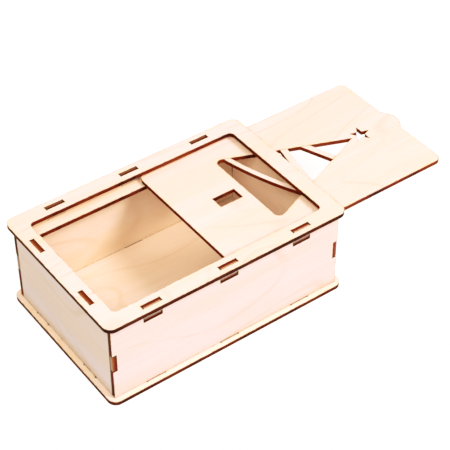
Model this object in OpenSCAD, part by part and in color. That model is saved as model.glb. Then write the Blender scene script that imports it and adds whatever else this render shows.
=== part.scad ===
// Press-fit plywood puzzle box with a sliding lid, cut flat from one sheet.
// Nine pieces: base panel, four walls, two lid rails, top frame and lid.
// Millimetres. The origin is the centre of the base panel's underside, +Z is up,
// and the lid draws out along +X, over the low right wall.

/* [Box] */

// Length of the base panel and top frame
box_l = 180; // [170:1:230]

// Width of the base panel and top frame
box_w = 120; // [112:1:160]

// Height of the walls between base panel and top frame
wall_h = 59.5; // [48:0.5:90]

// Thickness of the plywood sheet
ply_t = 3; // [2.5:0.1:3.4]

// How far the base panel and top frame stand out past the walls
overhang = 4; // [2:0.5:6]

// Corner radius of the base panel and top frame
corner_r = 6; // [3:0.5:10]

/* [Top frame] */

// Width of the border round the window
border_w = 11.7; // [10.5:0.1:15]

// Corner radius of the window
window_r = 3.5; // [2:0.5:8]

/* [Tabs and slots] */

// Length of every tab
tab_l = 12; // [8:0.5:14]

// Distance between neighbouring tabs on a wall
tab_pitch = 56; // [44:1:60]

// How far a tab's end stays below the face it comes out of
tab_recess = 0.3; // [0.1:0.1:1.5]

// Height of the corner tabs' centre above the underside of the box
corner_tab_z = 32.3; // [25:0.1:36]

// Clearance between a slot and the flat sides of its tab, on each side
fit_gap = 0.15; // [0.05:0.05:0.25]

// Clearance at each end of a tab in its slot
tab_end_gap = 0.6; // [0.1:0.1:1]

/* [Rails] */

// Width of each rail, measured from the wall
rail_w = 9; // [6:0.5:14]

// Height of the space between the rails and the top frame
channel_h = 5.3; // [4:0.1:8]

/* [Lid] */

// Distance the lid is drawn out from its closed place
lid_open = 88.2; // [0:0.1:140]

// Gap between the closed lid and the left wall
lid_end_gap = 0.2; // [0.1:0.1:1]

// Gap between the lid's long edges and the walls, on each side
lid_side_gap = 1.4; // [0.4:0.1:2]

// Running gap under the lid
lid_run_gap = 0.1; // [0.05:0.05:0.3]

// Corner radius of the lid
lid_r = 5; // [2:0.5:9]

// How far the finger pull stands out past the lid's end
pull_h = 5; // [3:0.5:8]

// Radius of the finger pull
pull_r = 12.5; // [9:0.5:20]

// Radius where the finger pull runs into the lid's end
pull_fillet_r = 2; // [1:0.5:4]

/* [Tree cut-out] */

// Distance from the lid's inner end to the foot of the tree
tree_foot = 49; // [44:0.5:54]

// Height of the tree, foot to tip
tree_h = 89.5; // [82:0.5:91]

// Width of the tree at its foot, before the corners are rounded
tree_w = 71.6; // [60:0.2:80]

// Radius of the tree's foot corners
tree_r = 4; // [2:0.5:6]

// Length of the trunk opening
trunk_l = 17.2; // [10:0.2:20]

// Width of the trunk opening
trunk_w = 9.8; // [6:0.2:16]

// Distance of the trunk opening's inner side from the lid's inner end
trunk_start = 25.8; // [22:0.2:28]

/* [Garlands] */

// Width of the lowest garland
low_band_w = 3.4; // [2:0.1:5]

// Centre line radius of the lowest garland
low_band_r = 220; // [160:5:300]

// Slant of the lowest garland at the middle of the tree, in degrees
low_band_slant = 21; // [15:0.5:24]

// Distance of the lowest garland from the foot of the tree
low_band_at = 18.3; // [15:0.1:22]

// Width of the middle garland
mid_band_w = 4.8; // [3:0.1:6]

// Centre line radius of the middle garland
mid_band_r = 330; // [200:5:400]

// Slant of the middle garland at the middle of the tree, in degrees
mid_band_slant = 10.4; // [5:0.1:14]

// Distance of the middle garland from the foot of the tree
mid_band_at = 41.3; // [38:0.1:44]

// Width of the top garland
top_band_w = 4.4; // [3:0.1:6]

// Slant of the top garland, in degrees
top_band_slant = 21.7; // [15:0.1:26]

// Distance of the top garland from the foot of the tree
top_band_at = 63.6; // [60:0.1:66]

/* [Star] */

// Distance from the tip of the tree to the centre of the star
star_lift = 7.5; // [6.5:0.1:9]

// Radius of the star's points
star_r = 7.2; // [5:0.1:7.4]

// Radius of the star's notches
star_notch_r = 3; // [2:0.1:3.5]

/* [Hidden] */

$fn = 96;

cut_over = 1;                                  // how far a cutter runs past a face

// Heights of the faces the pieces share
base_top = ply_t;
frame_z = base_top + wall_h;
rail_top = frame_z - channel_h;
rail_z = rail_top - ply_t;
lid_z = rail_top + lid_run_gap;

// The walls' outer and inner faces, measured from the middle of the box
wall_x = box_l / 2 - overhang;
wall_y = box_w / 2 - overhang;
inner_x = wall_x - ply_t;
inner_y = wall_y - ply_t;

// Long walls carry three tabs on each long edge, end walls two
long_tabs = [-tab_pitch, 0, tab_pitch];
end_tabs = [-tab_pitch / 2, tab_pitch / 2];

tab_h = ply_t - tab_recess;
slot_l = tab_l + 2 * tab_end_gap;
slot_w = ply_t + 2 * fit_gap;
notch_d = ply_t + fit_gap;

// The closed lid's outer end lines up with the edge of the box
lid_l = box_l / 2 + inner_x;
lid_w = 2 * (inner_y - lid_side_gap);
lid_x = -inner_x + lid_end_gap + lid_open;

tree_tip = tree_foot + tree_h;
tree_corner = atan2(tree_h, tree_w / 2);       // angle between foot and side
star_x = tree_tip + star_lift;
star_points = 5;

// A flat panel with round corners, centred, standing on z = 0
module panel(l, w, r, t) {
    linear_extrude(height = t) rounded(l, w, r);
}

// A rectangle with round corners, centred
module rounded(l, w, r) {
    square([l - 2 * r, w], center = true);
    square([l, w - 2 * r], center = true);
    for (x = [-1, 1], y = [-1, 1])
        translate([x * (l / 2 - r), y * (w / 2 - r)]) circle(r = r);
}

// A slot through a level panel for a tab that runs along X
module slot_x(x, y, z) {
    translate([x - slot_l / 2, y - slot_w / 2, z - cut_over])
        cube([slot_l, slot_w, ply_t + 2 * cut_over]);
}

// A slot through a level panel for a tab that runs along Y
module slot_y(x, y, z) {
    translate([x - slot_w / 2, y - slot_l / 2, z - cut_over])
        cube([slot_w, slot_l, ply_t + 2 * cut_over]);
}

// The slots for the two long walls
module long_wall_slots(z) {
    for (x = long_tabs, side = [-1, 1]) slot_x(x, side * (wall_y - ply_t / 2), z);
}

// The slots for one end wall, side = -1 for the left one
module end_wall_slots(side, z) {
    for (y = end_tabs) slot_y(side * (wall_x - ply_t / 2), y, z);
}

module base_panel() {
    color("burlywood") difference() {
        panel(box_l, box_w, corner_r, ply_t);
        long_wall_slots(0);
        for (side = [-1, 1]) end_wall_slots(side, 0);
    }
}

module top_frame() {
    color("burlywood") difference() {
        translate([0, 0, frame_z]) panel(box_l, box_w, corner_r, ply_t);
        translate([0, 0, frame_z - cut_over])
            panel(box_l - 2 * border_w, box_w - 2 * border_w, window_r, ply_t + 2 * cut_over);
        long_wall_slots(frame_z);
        end_wall_slots(-1, frame_z);
    }
}

// One long wall, drawn for the front: y runs from its outer face inwards
module long_wall() {
    difference() {
        union() {
            translate([-wall_x, -wall_y, base_top]) cube([2 * wall_x, ply_t, wall_h]);
            for (x = long_tabs) translate([x - tab_l / 2, -wall_y, base_top - tab_h])
                cube([tab_l, ply_t, wall_h + 2 * tab_h]);
        }
        // open notches at both ends for the end walls' corner tabs
        for (side = [-1, 1])
            translate([side * wall_x - notch_d, -wall_y - cut_over, corner_tab_z - slot_l / 2])
                cube([2 * notch_d, ply_t + 2 * cut_over, slot_l]);
        // slots for the rail's tabs
        for (x = long_tabs)
            translate([x - slot_l / 2, -wall_y - cut_over, rail_z - fit_gap])
                cube([slot_l, ply_t + 2 * cut_over, slot_w]);
    }
}

module front_wall() {
    color("burlywood") long_wall();
}

module rear_wall() {
    color("burlywood") mirror([0, 1, 0]) long_wall();
}

// The tabs of an end wall: two into the base, one into each long wall
module end_wall_tabs() {
    for (y = end_tabs) translate([-wall_x, y - tab_l / 2, base_top - tab_h])
        cube([ply_t, tab_l, tab_h + ply_t]);
    translate([-wall_x, -inner_y - tab_h, corner_tab_z - tab_l / 2])
        cube([ply_t, 2 * (inner_y + tab_h), tab_l]);
}

module left_wall() {
    color("burlywood") union() {
        translate([-wall_x, -inner_y, base_top]) cube([ply_t, 2 * inner_y, wall_h]);
        end_wall_tabs();
        for (y = end_tabs) translate([-wall_x, y - tab_l / 2, frame_z - ply_t])
            cube([ply_t, tab_l, ply_t + tab_h]);
    }
}

// The right wall stops level with the rails, so that the lid passes over it
module right_wall() {
    color("burlywood") mirror([1, 0, 0]) union() {
        translate([-wall_x, -inner_y, base_top]) cube([ply_t, 2 * inner_y, rail_top - base_top]);
        end_wall_tabs();
    }
}

// One rail, drawn for the front, with three tabs through the wall
module rail() {
    union() {
        translate([-inner_x + fit_gap, -inner_y, rail_z])
            cube([2 * (inner_x - fit_gap), rail_w, ply_t]);
        for (x = long_tabs) translate([x - tab_l / 2, -inner_y - tab_h, rail_z])
            cube([tab_l, tab_h + rail_w / 2, ply_t]);
    }
}

module front_rail() {
    color("burlywood") rail();
}

module rear_rail() {
    color("burlywood") mirror([0, 1, 0]) rail();
}

// The tree's outline: its foot at x = 0, its tip at x = tree_h
module tree_outline() {
    // distance along each side from a foot corner to where its round begins
    round_l = tree_r / tan(tree_corner / 2);
    half_w = tree_w / 2;
    side_x = round_l * sin(tree_corner);
    side_y = half_w - round_l * cos(tree_corner);
    polygon([[0, round_l - half_w], [side_x, -side_y], [tree_h, 0],
             [side_x, side_y], [0, half_w - round_l]]);
    for (side = [-1, 1])
        translate([tree_r, side * (half_w - round_l)]) circle(r = tree_r);
}

// A curved garland that crosses the middle of the tree at x = at and bows to its foot
module curved_band(at, w, r, slant) {
    translate([at, 0]) rotate(slant) translate([r, 0]) difference() {
        circle(r = r + w / 2, $fn = 360);
        circle(r = r - w / 2, $fn = 360);
    }
}

module garlands() {
    curved_band(low_band_at, low_band_w, low_band_r, low_band_slant);
    curved_band(mid_band_at, mid_band_w, mid_band_r, -mid_band_slant);
    translate([top_band_at, 0]) rotate(top_band_slant)
        square([top_band_w, tree_w], center = true);
}

// Five-pointed star with one point towards the lid's outer end
module star() {
    step = 360 / star_points;
    polygon([for (i = [0 : star_points - 1], half = [0, 1])
        let (r = half == 0 ? star_r : star_notch_r, a = (i + half / 2) * step)
        [r * cos(a), r * sin(a)]]);
}

// The finger pull at the lid's outer end, run into the end by two small fillets
module pull() {
    centre_x = lid_l + pull_h - pull_r;
    fillet_x = lid_l + pull_fillet_r;
    reach = pull_r + pull_fillet_r;
    fillet_y = sqrt(pow(reach, 2) - pow(fillet_x - centre_x, 2));
    meet_x = centre_x + pull_r * (fillet_x - centre_x) / reach;
    translate([centre_x, 0]) circle(r = pull_r);
    difference() {
        translate([lid_l - pull_fillet_r, -fillet_y])
            square([meet_x - lid_l + pull_fillet_r, 2 * fillet_y]);
        for (side = [-1, 1])
            translate([fillet_x, side * fillet_y]) circle(r = pull_fillet_r);
    }
}

module lid() {
    color("wheat") translate([lid_x, 0, lid_z]) linear_extrude(height = ply_t) difference() {
        union() {
            translate([lid_l / 2, 0]) rounded(lid_l, lid_w, lid_r);
            pull();
        }
        translate([trunk_start, -trunk_w / 2]) square([trunk_l, trunk_w]);
        translate([tree_foot, 0]) difference() {
            tree_outline();
            garlands();
        }
        translate([star_x, 0]) star();
    }
}

base_panel();
top_frame();
front_wall();
rear_wall();
left_wall();
right_wall();
front_rail();
rear_rail();
lid();
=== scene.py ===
import math

import bmesh
import bpy
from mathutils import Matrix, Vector


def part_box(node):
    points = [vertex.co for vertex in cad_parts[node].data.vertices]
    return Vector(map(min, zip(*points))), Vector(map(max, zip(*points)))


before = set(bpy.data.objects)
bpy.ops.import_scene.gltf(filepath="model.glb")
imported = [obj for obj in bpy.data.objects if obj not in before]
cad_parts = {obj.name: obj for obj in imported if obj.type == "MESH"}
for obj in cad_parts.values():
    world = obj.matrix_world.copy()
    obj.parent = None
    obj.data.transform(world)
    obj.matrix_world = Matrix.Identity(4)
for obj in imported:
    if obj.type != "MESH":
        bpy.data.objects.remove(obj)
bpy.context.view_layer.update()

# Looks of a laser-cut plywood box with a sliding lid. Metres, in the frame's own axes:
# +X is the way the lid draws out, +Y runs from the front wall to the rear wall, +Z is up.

MM = 0.001

# Sizes of the cut-outs that the scorched rims follow. The rest is read from the frame.
TAB_LENGTH = 12 * MM
TAB_END_GAP = 0.6 * MM
TAB_PITCH = 56 * MM
CORNER_TAB_Z = 32.3 * MM
CORNER_RADIUS = 6 * MM
FRAME_BORDER = 11.7 * MM
WINDOW_RADIUS = 3.5 * MM
LID_LENGTH = 173 * MM        # without the finger pull
LID_RADIUS = 5 * MM
PULL_REACH = 5 * MM
PULL_RADIUS = 12.5 * MM
TREE_FOOT = 49 * MM          # from the lid's inner end to the foot of the tree
TREE_HEIGHT = 89.5 * MM
TREE_HALF_WIDTH = 35.8 * MM
TREE_RADIUS = 4 * MM
TRUNK_START = 25.8 * MM
TRUNK_LENGTH = 17.2 * MM
TRUNK_WIDTH = 9.8 * MM
STAR_LIFT = 7.5 * MM
STAR_RADIUS = 7.2 * MM
STAR_NOTCH_RADIUS = 3 * MM

# Camera
CAMERA_TARGET = Vector((42.8, 6.8, 30.4)) * MM
CAMERA_DISTANCE = 943 * MM
CAMERA_HEADING = 36.32       # degrees from +Y towards +X
CAMERA_ELEVATION = 41.79     # degrees above the horizon
CAMERA_LENS = 114.4          # focal length in mm, for a picture of the width below
CAMERA_SENSOR = 36
CAMERA_CLIP = 10 * MM

# Light: round softboxes, each by the direction it stands in, its width in metres and its watts
LIGHT_DISTANCE = 1.5
LIGHT_COLOUR = (1.0, 0.845, 0.90)
LIGHTS = (
    ("key", (0.65, -1.5, 1.0), 0.7, 5.5),
    ("key_high", (0.65, -1.0, 1.3), 0.5, 21),
    ("left", (-0.5, -0.3, 1.0), 0.9, 13.5),
    ("front_left", (-0.44, -0.60, 0.67), 0.9, 6),
    ("back", (0.1, 0.9, 1.0), 0.9, 5.5),
)
WORLD_LIGHT = 0.14

# Floor: it glows, so that it stays white under soft light
FLOOR_REACH = 3.0            # from its middle to each side
FLOOR_DROP = 0.2 * MM        # keeps it clear of the base's underside
FLOOR_COLOUR = (0.30, 0.33, 0.31)
FLOOR_ROUGHNESS = 0.9
FLOOR_GLOW = 0.95

# Tone curve
WHITE_POINT = 1.23           # the brightness shown as white
ROLL_OFF = 0.89              # smaller bends the tones more
CURVE_STEPS = 10
CURVE_CROWDING = 1.5         # above 1 sets the curve's points closer in the dark tones
BLUE, ALL_COLOURS = 2, 3     # places in Blender's list of curves
# The blue channel's own curve, as (in, out): it is low in the dark tones, which turns them warm
WARM_SHADOWS = ((0.03, 0.026), (0.18, 0.135), (0.27, 0.205), (0.36, 0.3), (0.5, 0.485),
                (0.65, 0.66), (0.85, 0.87))

# Linear colours of the sheet faces and of the marks on them
PALE = (0.89, 0.685, 0.525)
PALE_WARM = (0.87, 0.635, 0.43)
FIGURE = (0.70, 0.42, 0.23)
FLECK = (0.55, 0.33, 0.17)
SCORCH = (0.85, 0.64, 0.30)
BURNT = (0.26, 0.09, 0.030)
SEAM = (0.06, 0.042, 0.028)

# Linear colours of the cut edges
# the darkest colour: char on the cut edges, and painted shade on tab sides and on tab ends that
# sit in shade
SOOT_AND_SHADE = (0.016, 0.001, 0.0003)
CHAR_RED = (0.125, 0.009, 0.001)
CHAR_BROWN = (0.18, 0.031, 0.006)
GLUE = (0.018, 0.002, 0.001)

# Tints of single sheets. On the front and left walls they also darken the sheet: painted shade
# that sets each wall's brightness against the light
FRONT_TINT_AND_SHADE = (0.79, 0.79, 0.92)     # the front wall is pinker than the rest, and darkened: painted shade against the strong light on it
LEFT_TINT_AND_SHADE = (0.77, 0.80, 0.98)      # the left wall is greyer and darker: painted shade for the side the light reaches less
TOP_TONE = (1.0, 0.985, 1.04)       # the frame and the lid are a little whiter

# Colours of the tab ends' outer ply, part by part. The rails' pink is painted light and the
# rear wall's rust is painted shade
TAB_TAN = (0.62, 0.33, 0.18)
# painted light: the rails' tab ends as the strong front light shows them
TAB_LIT_PINK = (0.36, 0.19, 0.15)
# painted shade: the rear wall's tab ends, recessed in the shade of the frame's slots
TAB_SHADED_RUST = (0.17, 0.055, 0.022)
TAB_ORANGE = (0.33, 0.082, 0.011)
TAB_BROWN = (0.18, 0.085, 0.06)

# Noise features per metre: along the grain, across it and through the sheet
BANDS = (5, 48, 12)
RINGS = (5.5, 14, 8)
THREADS = (16, 420, 100)
FIBRES = (40, 1400, 300)
PORES = (230, 2400, 300)
CLOUD = (22, 40, 20)
BURN_LINES = (1500, 1500, 60)

# Noise features per metre, the same in every direction
SCORCH_WANDER = 420
SCORCH_PATCHES = 75
CHAR_PATCHES = 55

# Marks on the sheet faces
RING_COUNT = 8.0             # growth lines between the lowest and the highest of RINGS
FIGURE_AMOUNT = 0.34         # how strongly the growth lines show
ARRIS_WIDTH = 0.5 * MM       # how far the burnt arris reaches into a face
ARRIS_AMOUNT = 0.75
SCORCH_REACH = 3.5 * MM      # how far the yellow patches reach
CLEAN_DEPTH = 0.3 * MM       # faces this deep inside the tree's outline are left clean
FAR = 200 * MM               # further from a cut than any mark reaches

# The plies at a cut edge: where each one fades in or out. The first three are shares of the
# thickness from the sheet's middle, and the last is one from its inner face.
CORE_END = (0.17, 0.21)
GLUE_START = (0.155, 0.185)
GLUE_END = (0.19, 0.22)
OUTER_PLY_START = (0.55, 0.72)
CORE_SOOT = 0.25             # how much darker the middle ply is
GLUE_AMOUNT = 0.5
# how dark the tab sides are painted: painted shade of the gaps at the tabs' ends
TAB_SIDE_SHADE = 0.85
SKIN = 0.05 * MM             # a tab starts this far past the sheet's own edge

# Finish
SPECULAR = 0.05
FACE_ROUGHNESS = (0.5, 0.64)
EDGE_ROUGHNESS = 0.18        # added to the faces' on the cut edges
BUMP_STRENGTH = 0.35
BUMP_HEIGHT = 0.08 * MM
AXES = "XYZ"


class Graph:
    """A short way to write a material's node tree. Methods return output sockets."""

    def __init__(self, name):
        self.material = bpy.data.materials.new(name)
        self.material.use_nodes = True
        self.nodes = self.material.node_tree.nodes
        self.links = self.material.node_tree.links
        self.nodes.clear()

    def add(self, kind, settings=(), **inputs):
        """A node with the named settings, and the named inputs linked or set."""
        node = self.nodes.new("ShaderNode" + kind)
        for name, value in dict(settings).items():
            setattr(node, name, value)
        for name, value in inputs.items():
            self.feed(node.inputs[name.replace("_", " ")], value)
        return node

    def feed(self, socket, value):
        """Links another node's output to the socket, or sets the socket's value."""
        if isinstance(value, bpy.types.NodeSocket):
            self.links.new(value, socket)
        elif isinstance(value, tuple) and len(value) == 3 and socket.type == "RGBA":
            socket.default_value = (*value, 1)
        else:
            socket.default_value = value

    def output(self, shader):
        """Makes the shader node the material's surface."""
        end = self.add("OutputMaterial")
        self.links.new(shader.outputs[0], end.inputs["Surface"])

    def math(self, operation, *values, clamp=False):
        node = self.add("Math", {"operation": operation, "use_clamp": clamp})
        for socket, value in zip(node.inputs, values):
            self.feed(socket, value)
        return node.outputs[0]

    def mix(self, factor, a, b, blend="MIX"):
        """Colour a where the factor is 0, and b where it is 1."""
        node = self.add("Mix", {"data_type": "RGBA", "blend_type": blend})
        self.feed(node.inputs[0], factor)
        self.feed(node.inputs[6], a)
        self.feed(node.inputs[7], b)
        return node.outputs[2]

    def smooth(self, value, low, high, to_low=0.0, to_high=1.0):
        """to_low up to value low, to_high from value high, and a soft step between."""
        node = self.add("MapRange", {"interpolation_type": "SMOOTHSTEP"})
        for name, v in (("Value", value), ("From Min", low), ("From Max", high),
                        ("To Min", to_low), ("To Max", to_high)):
            self.feed(node.inputs[name], v)
        return node.outputs["Result"]

    def noise(self, position, scales, detail, roughness=0.5, distortion=0.0):
        """Noise of 0 to 1 with so many features per metre along X, Y and Z."""
        mapping = self.add("Mapping", Vector=position, Scale=scales)
        node = self.add("TexNoise", Vector=mapping.outputs[0], Scale=1.0, Detail=detail,
                        Roughness=roughness, Distortion=distortion)
        return node.outputs["Fac"]

    def lowest(self, *values):
        found = values[0]
        for value in values[1:]:
            found = self.math("MINIMUM", found, value)
        return found

    def length(self, u, v):
        return self.math("SQRT", self.math("ADD", self.math("MULTIPLY", u, u),
                                           self.math("MULTIPLY", v, v)))

    def flip(self, value):
        return self.math("MULTIPLY", value, -1.0)

    def shift(self, value, amount):
        return self.math("SUBTRACT", value, amount)

    def rounded(self, u, v, centre, half_u, half_v, radius=0.0):
        """Distance outside a rectangle with round corners, negative inside it."""
        qu = self.shift(self.math("ABSOLUTE", self.shift(u, centre[0])), half_u - radius)
        qv = self.shift(self.math("ABSOLUTE", self.shift(v, centre[1])), half_v - radius)
        beyond = self.length(self.math("MAXIMUM", qu, 0.0), self.math("MAXIMUM", qv, 0.0))
        within = self.math("MINIMUM", self.math("MAXIMUM", qu, qv), 0.0)
        return self.shift(self.math("ADD", beyond, within), radius)

    def rectangle(self, u, v, half_u, half_v):
        """Distance outside a rectangle that is centred where u and v are 0, and 0 inside."""
        return self.math("MAXIMUM", self.rounded(u, v, (0.0, 0.0), half_u, half_v), 0.0)

    def repeat(self, value, first):
        """Folds a row of equal pitch onto one place: 0 at each tab, first being one of them."""
        return self.math("WRAP", self.shift(value, first), TAB_PITCH / 2, -TAB_PITCH / 2)

    def stain(self, distance, inner, outer, strength):
        """A mark that is strongest up to the inner distance, in mm, and gone at the outer."""
        return self.smooth(distance, inner * MM, outer * MM, strength, 0.0)


def centre_and_half(node):
    """A CAD node's middle and half size."""
    low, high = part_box(node)
    return (low + high) / 2, (high - low) / 2


SHEET = centre_and_half("top_frame")[1].z * 2     # the plywood's thickness


class Plywood(Graph):
    """Bare birch plywood. Faces across the thickness axis are sheet faces, with the grain
    along the grain axis. All other faces are laser-cut edges."""

    def __init__(self, name, node, thickness, grain):
        super().__init__(name)
        self.position = self.add("TexCoord").outputs["Object"]
        self.point = tuple(self.add("SeparateXYZ", Vector=self.position).outputs)
        self.thin = AXES.index(thickness)
        self.along = AXES.index(grain)

        # for each axis, whether the surface faces along it
        normal = self.add("SeparateXYZ", Vector=self.add("NewGeometry").outputs["True Normal"])
        self.facing = [self.math("GREATER_THAN", self.math("ABSOLUTE", part), 0.5)
                       for part in normal.outputs]

        # how far through the sheet a point lies, from 0 to 1
        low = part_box(node)[0]
        depth = self.shift(self.point[self.thin], low[self.thin])
        self.through = self.math("DIVIDE", depth, SHEET)

        self.fibres = self.grained(FIBRES, detail=4, roughness=0.65)
        self.pores = self.grained(PORES, detail=1)
        self.burns = self.grained(BURN_LINES, detail=3, roughness=0.7)

    def grained(self, scales, **settings):
        """Noise that follows the sheet. Its scales run along the grain, across and through."""
        along, across, through = scales
        found = [across] * 3
        found[self.along] = along
        found[self.thin] = through
        return self.noise(self.position, tuple(found), **settings)

    def even(self, scale, **settings):
        return self.noise(self.position, (scale,) * 3, **settings)

    def face(self, cuts, seams, scorch):
        """The sheet face: tone bands, growth figure, fibres, small dark pores and scorching.
        cuts and seams take this graph and a point's x, y and z: how far the nearest cut is,
        and how strong the dark marks are."""
        bands = self.grained(BANDS, detail=3, distortion=0.6)
        rings = self.grained(RINGS, detail=1, distortion=0.5)
        ripple = self.math("PINGPONG", self.math("MULTIPLY", rings, RING_COUNT), 0.5)
        threads = self.grained(THREADS, detail=3, roughness=0.6)
        cloud = self.grained(CLOUD, detail=3, roughness=0.6)
        face = self.mix(self.smooth(bands, 0.35, 0.68), PALE, PALE_WARM)
        figure = self.math("MULTIPLY", self.smooth(ripple, 0.38, 0.5, 0.0, FIGURE_AMOUNT),
                           self.smooth(cloud, 0.36, 0.58, 0.15, 1.0))
        face = self.mix(figure, face, FIGURE)
        for layer, start, full, strength, colour in ((threads, 0.48, 0.74, 0.14, FIGURE),
                                                     (self.fibres, 0.45, 0.8, 0.16, FLECK),
                                                     (self.pores, 0.70, 0.76, 0.35, FLECK),
                                                     (cloud, 0.42, 0.75, 0.22, PALE_WARM)):
            face = self.mix(self.smooth(layer, start, full, 0.0, strength), face, colour)

        # yellow patches here and there beside the cuts, and a burnt arris along all of them
        wander = self.smooth(self.even(SCORCH_WANDER, detail=2), 0.2, 0.8,
                             -0.25 * MM, 0.35 * MM)
        near = self.math("ADD", cuts(self, *self.point), wander)
        patch = self.smooth(self.even(SCORCH_PATCHES, detail=1), 0.48, 0.66, 0.1, 1.0)
        halo = self.math("MULTIPLY",
                         self.smooth(near, 0.2 * MM, SCORCH_REACH, scorch, 0.0), patch)
        face = self.mix(halo, face, SCORCH)
        face = self.mix(self.smooth(near, 0.0, ARRIS_WIDTH, ARRIS_AMOUNT, 0.0), face, BURNT)
        if seams is not None:
            face = self.mix(seams(self, *self.point), face, SEAM)
        return face

    def edge(self, dark_region, darkness, tabs):
        """The cut edge: three plies with glue lines, patches of char and fine burn lines.
        Where dark_region is above 0, soot covers it by the given darkness."""
        # the middle ply, and a glue line on each side of it
        from_middle = self.math("ABSOLUTE", self.shift(self.through, 0.5))
        core = self.smooth(from_middle, *CORE_END, 1.0, 0.0)
        glue_lines = self.math("MULTIPLY", self.smooth(from_middle, *GLUE_START),
                               self.smooth(from_middle, *GLUE_END, 1.0, 0.0))

        char = self.even(CHAR_PATCHES, detail=2, roughness=0.55)
        edge = self.mix(self.smooth(char, 0.30, 0.52), SOOT_AND_SHADE, CHAR_RED)
        edge = self.mix(self.smooth(char, 0.5, 0.72, 0.0, 0.55), edge, CHAR_BROWN)
        edge = self.mix(self.smooth(self.burns, 0.45, 0.75, 0.0, 0.4), edge, CHAR_BROWN)
        edge = self.mix(self.math("MULTIPLY", core, CORE_SOOT), edge, SOOT_AND_SHADE)
        if dark_region is not None:
            is_dark = self.math("GREATER_THAN", dark_region(self, *self.point), 0.0)
            amount = self.smooth(char, 0.36, 0.62, darkness * 1.1, darkness * 0.9)
            edge = self.mix(self.math("MULTIPLY", is_dark, amount, clamp=True), edge, SOOT_AND_SHADE)
        if tabs is not None:
            edge = self.tab_ends(edge, *tabs)
        return self.mix(self.math("MULTIPLY", glue_lines, GLUE_AMOUNT), edge, GLUE)

    def tab_ends(self, edge, regions, outer_side, base, colour):
        """The edge with tab sides painted dark as the shade in the slots' gaps, and tab ends
        that run from the base colour to the given colour on the ply at the sheet's outer side.
        regions gives, for each axis that tabs point along, how far a point lies into a tab."""
        outward = self.through
        if outer_side < 0:
            outward = self.math("SUBTRACT", 1.0, self.through)
        outer_ply = self.smooth(outward, *OUTER_PLY_START)
        spread = self.smooth(self.burns, 0.35, 0.65, 0.5, 1.0)
        end = self.mix(self.smooth(outward, 0.1, 0.6, 0.0, 0.5), base, CHAR_BROWN)
        end = self.mix(self.math("MULTIPLY", outer_ply, spread), end, colour)
        for axis, into in regions(self, *self.point):
            is_tab = self.math("GREATER_THAN", into, 0.0)
            # painted shade: the tab sides go dark as the gap beside them would
            edge = self.mix(self.math("MULTIPLY", is_tab, TAB_SIDE_SHADE), edge, SOOT_AND_SHADE)
            edge = self.mix(self.math("MULTIPLY", is_tab, self.facing[axis]), edge, end)
        return edge

    def surface(self, face, edge, tone):
        """The whole surface, with fibres and pores in relief on faces, burn lines on edges."""
        is_face = self.facing[self.thin]
        is_edge = self.math("SUBTRACT", 1.0, is_face)
        colour = self.mix(is_face, edge, face)
        # the tone is a sheet's tint, which on the front and left walls is also painted shade
        if tone is not None:
            colour = self.mix(1.0, colour, tone, blend="MULTIPLY")
        relief = self.math("ADD", self.math("MULTIPLY", self.fibres, 0.6),
                           self.math("MULTIPLY", self.pores, -0.4))
        height = self.math("ADD", self.math("MULTIPLY", relief, is_face),
                           self.math("MULTIPLY", self.burns, is_edge))
        bump = self.add("Bump", Height=height, Strength=BUMP_STRENGTH,
                        Distance=BUMP_HEIGHT)
        roughness = self.math("ADD", self.smooth(self.fibres, 0.2, 0.8, *FACE_ROUGHNESS),
                              self.math("MULTIPLY", is_edge, EDGE_ROUGHNESS))
        shader = self.add("BsdfPrincipled", Base_Color=colour, Roughness=roughness,
                          Normal=bump.outputs[0])
        shader.inputs["Specular IOR Level"].default_value = SPECULAR
        self.output(shader)


# Where the cuts, tabs and dark edges lie, for a graph and a point's x, y and z

WALL_Y = centre_and_half("rear_wall")[0].y        # middle of the long walls' thickness
WALL_OUTER_Y = WALL_Y + SHEET / 2
WALL_OUTER_X = -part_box("left_wall")[0].x
WALL_X = WALL_OUTER_X - SHEET / 2                 # middle of the end walls' thickness
WALL_LOW_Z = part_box("base_panel")[1].z
WALL_HIGH_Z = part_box("top_frame")[0].z
WALL_MIDDLE_Z = (WALL_LOW_Z + WALL_HIGH_Z) / 2
WALL_HALF_Z = (WALL_HIGH_Z - WALL_LOW_Z) / 2
RAIL_Z = centre_and_half("front_rail")[0].z
HALF_TAB, HALF_SHEET = TAB_LENGTH / 2, SHEET / 2
HALF_SLOT = HALF_TAB + TAB_END_GAP


def panel_cuts(node, end_sides, has_window):
    """The base panel and top frame: rim, slots for the walls, and the frame's window."""
    centre, half = centre_and_half(node)

    def distance(g, x, y, z):
        far_y = g.shift(g.math("ABSOLUTE", y), WALL_Y)
        found = [g.flip(g.rounded(x, y, centre, half.x, half.y, CORNER_RADIUS)),
                 g.rectangle(g.repeat(x, 0.0), far_y, HALF_SLOT, HALF_SHEET)]
        for side in end_sides:
            found.append(g.rectangle(g.shift(x, side * WALL_X), g.repeat(y, TAB_PITCH / 2),
                                     HALF_SHEET, HALF_SLOT))
        if has_window:
            found.append(g.rounded(x, y, centre, half.x - FRAME_BORDER,
                                   half.y - FRAME_BORDER, WINDOW_RADIUS))
        return g.lowest(*found)
    return distance


def frame_rim_and_slots(g, x, y, z):
    """Above 0 on all of the frame's edges but the window's."""
    centre, half = centre_and_half("top_frame")
    window = g.rounded(x, y, centre, half.x - FRAME_BORDER, half.y - FRAME_BORDER)
    return g.shift(window, 1 * MM)


def everywhere(g, x, y, z):
    return 1.0


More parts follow.
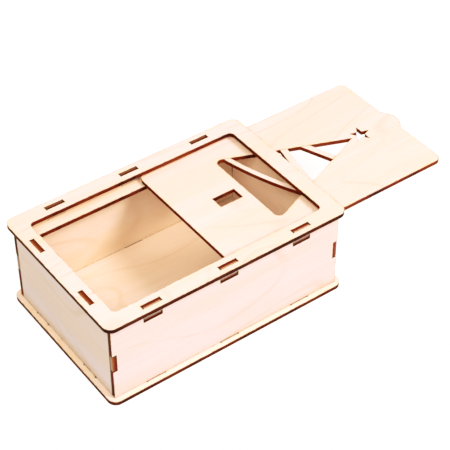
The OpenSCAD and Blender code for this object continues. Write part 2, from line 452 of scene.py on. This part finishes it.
def long_wall_openings(g, x, z):
    """Distance outside a long wall's slots for the rail and its notches for the end walls."""
    notch_u = g.shift(g.math("ABSOLUTE", x), WALL_OUTER_X)
    slots = g.rectangle(g.repeat(x, 0.0), g.shift(z, RAIL_Z), HALF_SLOT, HALF_SHEET)
    notches = g.rectangle(notch_u, g.shift(z, CORNER_TAB_Z), SHEET, HALF_SLOT)
    return g.lowest(slots, notches)


def long_wall_cuts(g, x, y, z):
    """Front and rear walls: the outline, the rail's slots and the corner notches."""
    outline = g.rounded(x, z, (0.0, WALL_MIDDLE_Z), WALL_OUTER_X, WALL_HALF_Z)
    return g.lowest(g.flip(outline), long_wall_openings(g, x, z))


def long_wall_tabs(g, x, y, z):
    """Tabs up into the frame and down into the base."""
    from_middle = g.math("ABSOLUTE", g.shift(z, WALL_MIDDLE_Z))
    return [(2, g.shift(from_middle, WALL_HALF_Z + SKIN))]


def end_wall_cuts(g, x, y, z):
    """Left and right walls: only the outline."""
    return g.flip(g.rounded(y, z, (0.0, WALL_MIDDLE_Z), WALL_Y - HALF_SHEET, WALL_HALF_Z))


def end_wall_tabs(g, x, y, z):
    """Tabs up and down, as on a long wall, and into the long walls' notches."""
    into_y = g.shift(g.math("ABSOLUTE", y), WALL_Y - HALF_SHEET + SKIN)
    return long_wall_tabs(g, x, y, z) + [(1, into_y)]


def rail_cuts(node):
    """Front or rear rail: only the outline."""
    centre, half = centre_and_half(node)

    def distance(g, x, y, z):
        return g.flip(g.rounded(x, y, centre, half.x, half.y))
    return distance


def rail_tabs(g, x, y, z):
    """Tabs into the long walls' slots."""
    return [(1, g.shift(g.math("ABSOLUTE", y), WALL_OUTER_Y - SHEET + SKIN))]


def tree_distance(g, along, side):
    """Distance outside the tree: two straight sides, and round corners at the foot."""
    slope = math.atan2(TREE_HALF_WIDTH, TREE_HEIGHT)
    lean = math.sin(slope)
    to_side = g.math("ADD",
                     g.math("MULTIPLY", g.shift(along, TREE_FOOT + TREE_HEIGHT), lean),
                     g.math("MULTIPLY", side, math.cos(slope)))
    to_side = g.math("ADD", to_side, TREE_RADIUS)
    to_foot = g.math("SUBTRACT", TREE_FOOT + TREE_RADIUS, along)
    straight = g.math("MAXIMUM", to_side, to_foot)
    both = g.math("MULTIPLY", g.math("MULTIPLY", to_side, to_foot), 2 * lean)
    squares = g.math("ADD", g.math("MULTIPLY", to_side, to_side),
                     g.math("MULTIPLY", to_foot, to_foot))
    corner = g.math("SQRT", g.math("MAXIMUM", g.math(
        "DIVIDE", g.math("ADD", squares, both), 1 - lean * lean), 0.0))
    past_side = g.math("ADD", to_side, g.math("MULTIPLY", to_foot, lean))
    past_foot = g.math("ADD", to_foot, g.math("MULTIPLY", to_side, lean))
    at_corner = g.math("GREATER_THAN", g.math("MINIMUM", past_side, past_foot), 0.0)
    found = g.math("ADD", g.math("MULTIPLY", corner, at_corner),
                   g.math("MULTIPLY", straight, g.math("SUBTRACT", 1.0, at_corner)))
    return g.shift(found, TREE_RADIUS)


def star_distance(g, along, side):
    """Distance outside the five-pointed star, one point of which looks along the lid."""
    half_step = math.pi / 5
    u = g.shift(along, TREE_FOOT + TREE_HEIGHT + STAR_LIFT)
    radius = g.length(u, side)
    angle = g.math("PINGPONG", g.math("ARCTAN2", side, u), half_step)
    dx = STAR_NOTCH_RADIUS * math.cos(half_step) - STAR_RADIUS
    dy = STAR_NOTCH_RADIUS * math.sin(half_step)
    size = math.hypot(dx, dy)
    across = g.shift(g.math("MULTIPLY", radius, g.math("COSINE", angle)), STAR_RADIUS)
    up = g.math("MULTIPLY", radius, g.math("SINE", angle))
    return g.math("ADD", g.math("MULTIPLY", across, dy / size),
                  g.math("MULTIPLY", up, -dx / size))


def lid_cuts(g, x, y, z):
    """The lid: its outline with the finger pull, the trunk, tree and star. The garlands
    that cross the tree are left clean."""
    along = g.shift(x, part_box("lid")[0].x)
    side = g.math("ABSOLUTE", y)
    half_width = centre_and_half("lid")[1].y
    outline = g.rounded(along, y, (LID_LENGTH / 2, 0.0), LID_LENGTH / 2, half_width, LID_RADIUS)
    pull_u = g.shift(along, LID_LENGTH + PULL_REACH - PULL_RADIUS)
    pull = g.shift(g.length(pull_u, y), PULL_RADIUS)
    trunk = g.rectangle(g.shift(along, TRUNK_START + TRUNK_LENGTH / 2), y,
                        TRUNK_LENGTH / 2, TRUNK_WIDTH / 2)
    tree = tree_distance(g, along, side)
    inside_tree = g.math("LESS_THAN", tree, -CLEAN_DEPTH)
    tree = g.math("ADD", tree, g.math("MULTIPLY", inside_tree, FAR))
    return g.lowest(g.flip(g.math("MINIMUM", outline, pull)), trunk, tree,
                    star_distance(g, along, side))


# How strong the dark marks on the sheet faces are: at joints, and where a cut is overburnt


def base_seams(g, x, y, z):
    """On the base: lines along the feet of the four walls, inside and outside, darker at the
    slots, and dark specks at the ends of the slots, where the corners are overburnt."""
    specks = []
    for along, first, over, wall in ((x, 0.0, y, WALL_OUTER_Y),
                                     (y, TAB_PITCH / 2, x, WALL_OUTER_X)):
        end = g.shift(g.math("ABSOLUTE", g.repeat(along, first)), HALF_SLOT)
        off = g.shift(g.math("ABSOLUTE", over), wall)
        specks.append(g.stain(g.length(end, off), 0.6, 1.3, 1.0))
    found = g.math("MAXIMUM", *specks)
    past_slot = g.smooth(g.math("ABSOLUTE", g.repeat(x, 0.0)), HALF_SLOT, HALF_SLOT + 0.2 * MM)
    strength = g.math("SUBTRACT", 1.0, g.math("MULTIPLY", past_slot, 0.75))
    for inset in (0.0, SHEET):
        foot = g.rounded(x, y, (0.0, 0.0), WALL_OUTER_X - inset, WALL_OUTER_Y - inset)
        line = g.stain(g.math("ABSOLUTE", foot), 0.0, 1.2, 1.0)
        found = g.math("MAXIMUM", found, g.math("MULTIPLY", line, strength))
    return found


def frame_seams(g, x, y, z):
    """On the frame: overburnt short ends of the slots."""
    off_y = g.shift(g.math("ABSOLUTE", g.shift(g.math("ABSOLUTE", y), WALL_Y)), HALF_SHEET)
    off_x = g.shift(g.math("ABSOLUTE", g.shift(x, -WALL_X)), HALF_SHEET)
    found = []
    for along, first, off in ((x, 0.0, off_y), (y, TAB_PITCH / 2, off_x)):
        end = g.shift(g.math("ABSOLUTE", g.repeat(along, first)), HALF_SLOT)
        away = g.length(end, g.math("MAXIMUM", off, 0.0))
        found.append(g.stain(away, 0.25, 0.65, 0.9))
    return g.math("MAXIMUM", *found)


def long_wall_seams(g, x, y, z):
    """On a long wall: the overburnt rims of the rail's slots and of the corner notches."""
    return g.stain(long_wall_openings(g, x, z), 0.15, 0.5, 0.9)


def end_wall_seams(g, x, y, z):
    """On an end wall: the dark joints with the long walls."""
    off = g.shift(g.math("ABSOLUTE", y), WALL_Y - HALF_SHEET)
    return g.stain(g.math("ABSOLUTE", off), 0.0, 0.9, 1.0)


def rail_seams(g, x, y, z):
    """On a rail: the line along the wall, with specks at the ends of its tabs."""
    off = g.shift(g.math("ABSOLUTE", y), WALL_OUTER_Y - SHEET)
    end = g.shift(g.math("ABSOLUTE", g.repeat(x, 0.0)), HALF_SLOT)
    specks = g.stain(g.length(end, off), 0.2, 0.6, 0.5)
    return g.math("MAXIMUM", g.stain(g.math("ABSOLUTE", off), 0.0, 0.35, 0.5), specks)


def dress(name, node, thickness, grain, cuts, seams=None, scorch=0.5, tone=None,
          dark_region=None, darkness=0.0, tabs=None):
    """Puts plywood on every slot of a CAD node. tabs holds tab_ends' regions, outer side, base
    and colour."""
    ply = Plywood(name, node, thickness, grain)
    ply.surface(ply.face(cuts, seams, scorch), ply.edge(dark_region, darkness, tabs), tone)
    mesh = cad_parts[node].data
    if not mesh.materials:
        mesh.materials.append(ply.material)
    for i in range(len(mesh.materials)):
        mesh.materials[i] = ply.material


def dress_all():
    dress("ply_base", "base_panel", "Z", "X", panel_cuts("base_panel", (-1, 1), False),
          base_seams, dark_region=everywhere, darkness=0.55)
    dress("ply_frame", "top_frame", "Z", "X", panel_cuts("top_frame", (-1,), True),
          frame_seams, tone=TOP_TONE, dark_region=frame_rim_and_slots, darkness=0.82)
    # the rear wall's tab ends, soot and rust, are painted shade
    for node, side, tone, base, colour in (
            ("front_wall", -1, FRONT_TINT_AND_SHADE, CHAR_RED, TAB_TAN),
            ("rear_wall", 1, None, SOOT_AND_SHADE, TAB_SHADED_RUST)):
        dress("ply_" + node, node, "Y", "X", long_wall_cuts, long_wall_seams, scorch=0.15,
              tone=tone, dark_region=everywhere, darkness=0.05,
              tabs=(long_wall_tabs, side, base, colour))
    for node, side, tone, colour in (("left_wall", -1, LEFT_TINT_AND_SHADE, TAB_ORANGE),
                                     ("right_wall", 1, None, TAB_BROWN)):
        dress("ply_" + node, node, "X", "Y", end_wall_cuts, end_wall_seams, scorch=0.25,
              tone=tone, tabs=(end_wall_tabs, side, CHAR_RED, colour))
    # the rails' tab ends: pink above as painted light, near black below as painted shade of the
    # gap under the tab
    for node in ("front_rail", "rear_rail"):
        dress("ply_" + node, node, "Z", "X", rail_cuts(node), rail_seams,
              tabs=(rail_tabs, 1, SOOT_AND_SHADE, TAB_LIT_PINK))
    dress("ply_lid", "lid", "Z", "X", lid_cuts, tone=TOP_TONE)


def floor():
    """A plain white table top, bright enough to hold only a trace of shadow."""
    mesh = bpy.data.meshes.new("floor")
    shape = bmesh.new()
    bmesh.ops.create_grid(shape, x_segments=1, y_segments=1, size=FLOOR_REACH)
    shape.to_mesh(mesh)
    shape.free()
    ground = bpy.data.objects.new("floor", mesh)
    ground.location.z = -FLOOR_DROP
    bpy.context.scene.collection.objects.link(ground)
    g = Graph("floor_white")
    shader = g.add("BsdfPrincipled", Base_Color=FLOOR_COLOUR, Roughness=FLOOR_ROUGHNESS,
                   Emission_Color=(1, 1, 1), Emission_Strength=FLOOR_GLOW)
    g.output(shader)
    mesh.materials.append(g.material)


def area_light(name, direction, size, power):
    """A round softbox that stands in the given direction and looks at the origin."""
    data = bpy.data.lights.new(name, "AREA")
    data.energy = power
    data.shape = "DISK"
    data.size = size
    data.color = LIGHT_COLOUR
    lamp = bpy.data.objects.new(name, data)
    lamp.location = Vector(direction).normalized() * LIGHT_DISTANCE
    lamp.rotation_euler = (-lamp.location).to_track_quat("-Z", "Y").to_euler()
    bpy.context.scene.collection.objects.link(lamp)


def tone_curve(view):
    """A film-like response: bright wood rolls off gently instead of clipping."""
    view.view_transform = "Standard"
    view.use_curve_mapping = True
    mapping = view.curve_mapping
    mapping.white_level = (WHITE_POINT,) * 3
    mapping.extend = "HORIZONTAL"
    top = 1 - math.exp(-WHITE_POINT / ROLL_OFF)
    for i in range(1, CURVE_STEPS):
        x = (i / CURVE_STEPS) ** CURVE_CROWDING
        y = (1 - math.exp(-x * WHITE_POINT / ROLL_OFF)) / top
        mapping.curves[ALL_COLOURS].points.new(x, y)
    for x, y in WARM_SHADOWS:
        mapping.curves[BLUE].points.new(x, y)
    mapping.update()


def studio():
    """An even white surrounding, the softboxes and the tone curve."""
    world = bpy.data.worlds.new("studio")
    world.use_nodes = True
    background = world.node_tree.nodes["Background"]
    background.inputs["Color"].default_value = (1, 1, 1, 1)
    background.inputs["Strength"].default_value = WORLD_LIGHT
    bpy.context.scene.world = world
    for name, direction, size, power in LIGHTS:
        area_light(name, direction, size, power)
    tone_curve(bpy.context.scene.view_settings)


def camera():
    """Looks at the target from the front left and above."""
    heading, elevation = math.radians(CAMERA_HEADING), math.radians(CAMERA_ELEVATION)
    forward = Vector((math.sin(heading) * math.cos(elevation),
                      math.cos(heading) * math.cos(elevation), -math.sin(elevation)))
    data = bpy.data.cameras.new("camera")
    data.lens = CAMERA_LENS
    data.sensor_width = CAMERA_SENSOR
    data.clip_start = CAMERA_CLIP
    eye = bpy.data.objects.new("camera", data)
    eye.location = CAMERA_TARGET - forward * CAMERA_DISTANCE
    eye.rotation_euler = forward.to_track_quat("-Z", "Y").to_euler()
    bpy.context.scene.collection.objects.link(eye)
    bpy.context.scene.camera = eye


camera()
dress_all()
floor()
studio()
